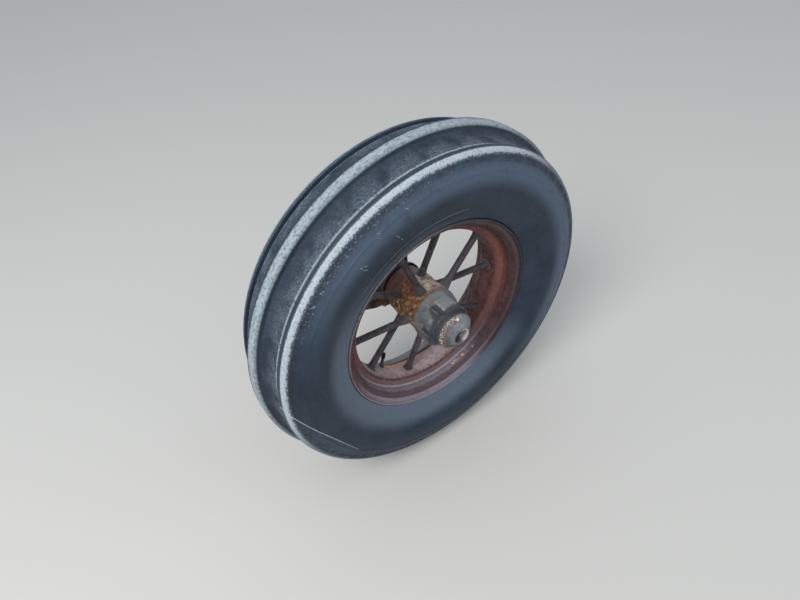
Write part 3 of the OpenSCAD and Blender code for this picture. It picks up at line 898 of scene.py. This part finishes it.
def makePlug(material):
    columns, points = plug["columns"], []
    for reach, side in plug["outline"]:
        points += noseRing(reach, side, columns)
    for grow, side in plug["socketSteps"]:
        for j in range(columns):
            angle = 360 * j / columns
            reach = plug["socket"] * grow / math.cos(fromNearest(angle, 0, 90))
            points.append(place(reach, side, angle) + noseLean(side))
    rows = len(plug["outline"]) + len(plug["socketSteps"])
    makePiece("capPlug", points, gridFaces(rows, columns, True), material, "wheel",
              ("cap_plug",))


makePlug(wornMetal("plugSteelGreaseAndShadow", plug["steel"], plug["grease"], 0.5, 0.3,
                   paintedShadowSide=plug["paintedShadowSide"]))
print("cap made")


valve = {"foot": (204.6, -16, -143), "tip": (163, -16, -137.5), "rubber": "#1f1f21",
         "dirt": "#3f3d3b", "capColour": "#2c2b2d"}


def makeValve():
    # A rubber-covered snap-in stem, and the chromed brass cap that is screwed on it.
    points, faces = [], []
    foot, tip = place(*valve["foot"]), place(*valve["tip"])
    rings = [(0, 7), (0.05, 7), (0.08, 5.4), (0.12, 4.6), (0.3, 4.1), (0.55, 4.0), (0.62, 4.0),
             (0.64, 3.4), (0.68, 3.4)]
    addBar(points, faces, foot, tip, rings, 24)
    stem, surface = newMaterial("weatheredStemRubber", {})
    here = addNode(surface, "TexCoord", output="Object")
    dirt = grains(here, 5, 0.4, 0.65, detail=6)
    coated(surface, valve["rubber"], [(tyre["dust"], dirt, 0.4)])
    roughened(surface, 0.6, [(0.9, dirt)])
    relief(surface, [(0.15, dirt)])
    makePiece("valveStem", points, faces, stem, "wheel", ("valve_stem",))
    points, faces = [], []
    capRings = [(0.64, 4.9)] + [(0.66 + 0.03 * k, 5 - 0.35 * (k % 2)) for k in range(9)]
    capRings += [(0.94, 4.7), (0.98, 3.8), (1.0, 2.4)]
    addBar(points, faces, foot, tip, capRings, 20)
    chrome = wornMetal("dulledValveCap", valve["capColour"], valve["dirt"], 0.3)
    makePiece("valveCap", points, faces, chrome, "wheel")


makeValve()
print("valve made")


knuckle = {
    "iron": "#5a4c43", "rust": "#7d4d33", "rustPale": "#a4714d", "grease": "#211d1b",
    "scale": "#3b3532", "bronze": "#a98450", "bronzeDark": "#4c3a22", "skin": 1.5,
    "washer": "#77736f", "bevel": 0.7, "nutSteel": "#6b5547", "nippleZinc": "#b7b2a4",
    "nut": (-54, -58.3, -24), "washerRadius": 14.8, "nutAcross": 22, "studRadius": 6.6,
    "slotRadius": 7.6, "pinRadius": 1.2,
    "nippleX": 33.2, "nippleHeights": (66, -66), "nippleAcross": 10,
    # a nipple's ball and neck: share of its length, radius
    "nippleRings": ((0, 3.6), (0.3, 3.3), (0.5, 2.4), (0.62, 2.4), (0.75, 3.2), (0.9, 3.1),
                    (1, 1.6)),
}


def forgedIron():
    # Drop-forged steel: dark mill scale, rust over it, and grease that has run from the pins.
    material, surface = newMaterial("scaledForgedSteel", {})
    here = addNode(surface, "TexCoord", output="Object")
    rusty = grains(here, 32, 0.42, 0.62, detail=7, distort=0.3)
    specks = grains(here, 5, 0.45, 0.62, detail=7)
    scabs = grains(here, 11, 0.55, 0.66, detail=6)
    runs = grains(here, 26, 0.46, 0.62, detail=5, stretch=(1, 1, 0.3))
    coats = [
        (knuckle["scale"], grains(here, 60, 0.4, 0.65), 0.7),
        (knuckle["rust"], rusty, 0.8),
        (knuckle["rustPale"], rusty, scabs, 0.6),
        (knuckle["rust"], specks, 0.5),
        (knuckle["grease"], runs, 0.8),
    ]
    coated(surface, knuckle["iron"], coats)
    roughened(surface, 0.62, [(0.88, rusty), (0.4, runs)])
    relief(surface, [(0.35, rusty), (0.3, specks), (0.4, scabs), (0.25, grains(here, 9, 0.3, 0.7))])
    return material


def forge(piece):  # the solid's form with a forging's soft corners and uneven skin
    piece.data.polygons.foreach_set("use_smooth", [True] * len(piece.data.polygons))
    shell = piece.modifiers.new("evenSkin", "REMESH")
    shell.mode = "VOXEL"
    shell.voxel_size = knuckle["skin"] * mm
    shell.use_smooth_shade = True
    soft = piece.modifiers.new("softCorners", "SMOOTH")
    soft.factor = 0.5
    soft.iterations = 6
    clouds = bpy.data.textures.get("forgedSkin") or bpy.data.textures.new("forgedSkin", "CLOUDS")
    clouds.noise_scale = 16 * mm
    skin = piece.modifiers.new("unevenSkin", "DISPLACE")
    skin.texture = clouds
    skin.strength = 0.8 * mm
    skin.mid_level = 1.0


def addPrism(points, faces, foot, tip, across, sides, chamferMm=1.0):  # a hexagon nut or head
    long = (tip - foot).length / mm
    corner = across / 2 / math.cos(math.pi / sides)
    rings = [(0, corner - 0.3), (0.06, corner), (1 - chamferMm / long, corner),
             (1, corner - chamferMm * 1.4)]
    addBar(points, faces, foot, tip, rings, sides)


def makeForging(iron):  # the fork's back, its ears and the stub axle are one forging
    points, faces = [], []
    # an end face at this Y, in mm, is sunk a little into its neighbour so that the skins join
    for name, meetsAt, reach in (("knuckle", None, 0), ("fork_ears", -43, -1),
                                 ("stub_axle", -74, 1)):
        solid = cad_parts[name].data
        first = len(points)
        for vertex in solid.vertices:
            spot = Vector(vertex.co)
            if meetsAt is not None and abs(spot.y / mm - meetsAt) < 0.05:
                spot.y += reach * mm
            points.append(spot)
        faces += [tuple(first + k for k in polygon.vertices) for polygon in solid.polygons]
    forge(makePiece("forgedKnuckle", points, faces, iron, "knuckle",
                    ("knuckle", "fork_ears", "stub_axle")))


def makeStudNut():  # the castle nut on its washer, the stud's end and the split pin
    points, faces = [], []
    x, y, z = knuckle["nut"]
    washer, stud, pin = knuckle["washerRadius"], knuckle["studRadius"], knuckle["pinRadius"]

    def at(reach, dy=0.0, dz=0.0):
        return Vector((x - reach, y + dy, z + dz)) * mm

    def add(start, end, rings, columns):
        addBar(points, faces, at(*start), at(*end), rings, columns)

    add((-0.4,), (2.6,), [(0, washer - 0.4), (0.1, washer), (0.85, washer), (1, washer - 0.6)], 40)
    addPrism(points, faces, at(2.4), at(13), knuckle["nutAcross"], 6)
    for k in range(6):
        turn = math.radians(60 * k)
        slot = knuckle["slotRadius"]
        out = at(12.6, slot * math.cos(turn), slot * math.sin(turn))
        addPrism(points, faces, out, out - Vector((4.4 * mm, 0, 0)), 5.6, 4, 0.6)
    add((2,), (19.5,), [(0, stud), (0.9, stud), (1, stud - 1.2)], 28)
    add((15.2, 0, -12), (15.2, 0, 12), [(0, pin), (1, pin)], 10)
    add((15.2, 0, -12), (19.2, 3, -14), [(0, pin), (1, pin - 0.1)], 10)
    add((15.2, 0, 12), (16, 0, 15), [(0, 1.9), (0.5, 2.6), (1, 1.9)], 14)
    steel = wornMetal("rustedNutSteel", knuckle["nutSteel"], knuckle["grease"], 0.55, 0.5)
    makePiece("armStudNut", points, faces, steel, "knuckle")


def makeNipples():  # a grease nipple for each kingpin bush
    points, faces = [], []
    for height in knuckle["nippleHeights"]:
        foot, hexEnd, ballStart, tip = (Vector((knuckle["nippleX"] + out, 0, height)) * mm
                                        for out in (0, 5.4, 5, 13.4))
        addPrism(points, faces, foot, hexEnd, knuckle["nippleAcross"], 6, 0.8)
        addBar(points, faces, ballStart, tip, knuckle["nippleRings"], 24)
    zinc = wornMetal("zincNippleSteel", knuckle["nippleZinc"], knuckle["grease"], 0.35)
    makePiece("greaseNipples", points, faces, zinc, "knuckle")


def makeKnuckle():
    iron = forgedIron()
    makeForging(iron)
    forge(dress("steering_arm", iron))
    bronze = wornMetal("oiledBushBronze", knuckle["bronze"], knuckle["bronzeDark"], 0.4)
    washer = wornMetal("greasyWasherSteel", knuckle["washer"], knuckle["scale"], 0.45, 0.6)
    for name, metal in (("upper_bush", bronze), ("lower_bush", bronze), ("thrust_washer", washer)):
        dress(name, metal, knuckle["bevel"])
    makeStudNut()
    makeNipples()


makeKnuckle()
print("knuckle made")


studio = {"floor": "#c4c2bd", "floorZ": -435.3, "world": "#e6edf5", "worldLevel": 0.8}


def makeStage():
    bpy.ops.mesh.primitive_plane_add(size=60, location=(0, 0, studio["floorZ"] * mm))
    floor = bpy.context.object
    floor.name = "studioFloor"
    paper = {"Base Color": studio["floor"], "Roughness": 0.9}
    floor.data.materials.append(newMaterial("matteFloorPaper", paper)[0])
    world = bpy.data.worlds.new("softStudio")
    bpy.context.scene.world = world
    world.use_nodes = True
    backdrop = world.node_tree.nodes["Background"]
    backdrop.inputs["Color"].default_value = linearColour(studio["world"])
    backdrop.inputs["Strength"].default_value = studio["worldLevel"]


lamps = (  # name, place, aim, size in metres, watts
    ("keyPanel", (-2.6, -1.2, 3.0), (0, -0.2, 0), 2.2, 125),
    ("fillPanel", (2.4, -2.6, 1.8), (0, -0.2, 0), 2.4, 14),
)


def makeLamps():
    for name, spot, aim, size, watts in lamps:
        data = bpy.data.lights.new(name, "AREA")
        data.shape = "DISK"
        data.size = size
        data.energy = watts
        lamp = bpy.data.objects.new(name, data)
        lamp.location = spot
        lamp.rotation_euler = (Vector(aim) - Vector(spot)).to_track_quat("-Z", "Y").to_euler()
        bpy.context.scene.collection.objects.link(lamp)


camera = {"spot": (-592.9, -1009.2, 979.4), "look": (0.3902, 0.6108, -0.6890), "roll": -5.1,
          "lens": 27, "sensor": 36, "near": 0.05}


def makeCamera():
    data = bpy.data.cameras.new("photoCamera")
    data.lens = camera["lens"]
    data.sensor_width = camera["sensor"]
    data.clip_start = camera["near"]
    view = bpy.data.objects.new("photoCamera", data)
    view.location = Vector(camera["spot"]) * mm
    turn = Vector(camera["look"]).to_track_quat("-Z", "Y")
    turn = turn @ Quaternion((0, 0, 1), math.radians(camera["roll"]))
    view.rotation_euler = turn.to_euler()
    bpy.context.scene.collection.objects.link(view)
    bpy.context.scene.camera = view


makeStage()
makeLamps()
makeCamera()
bpy.context.scene.view_settings.view_transform = "Standard"
print("stage made")
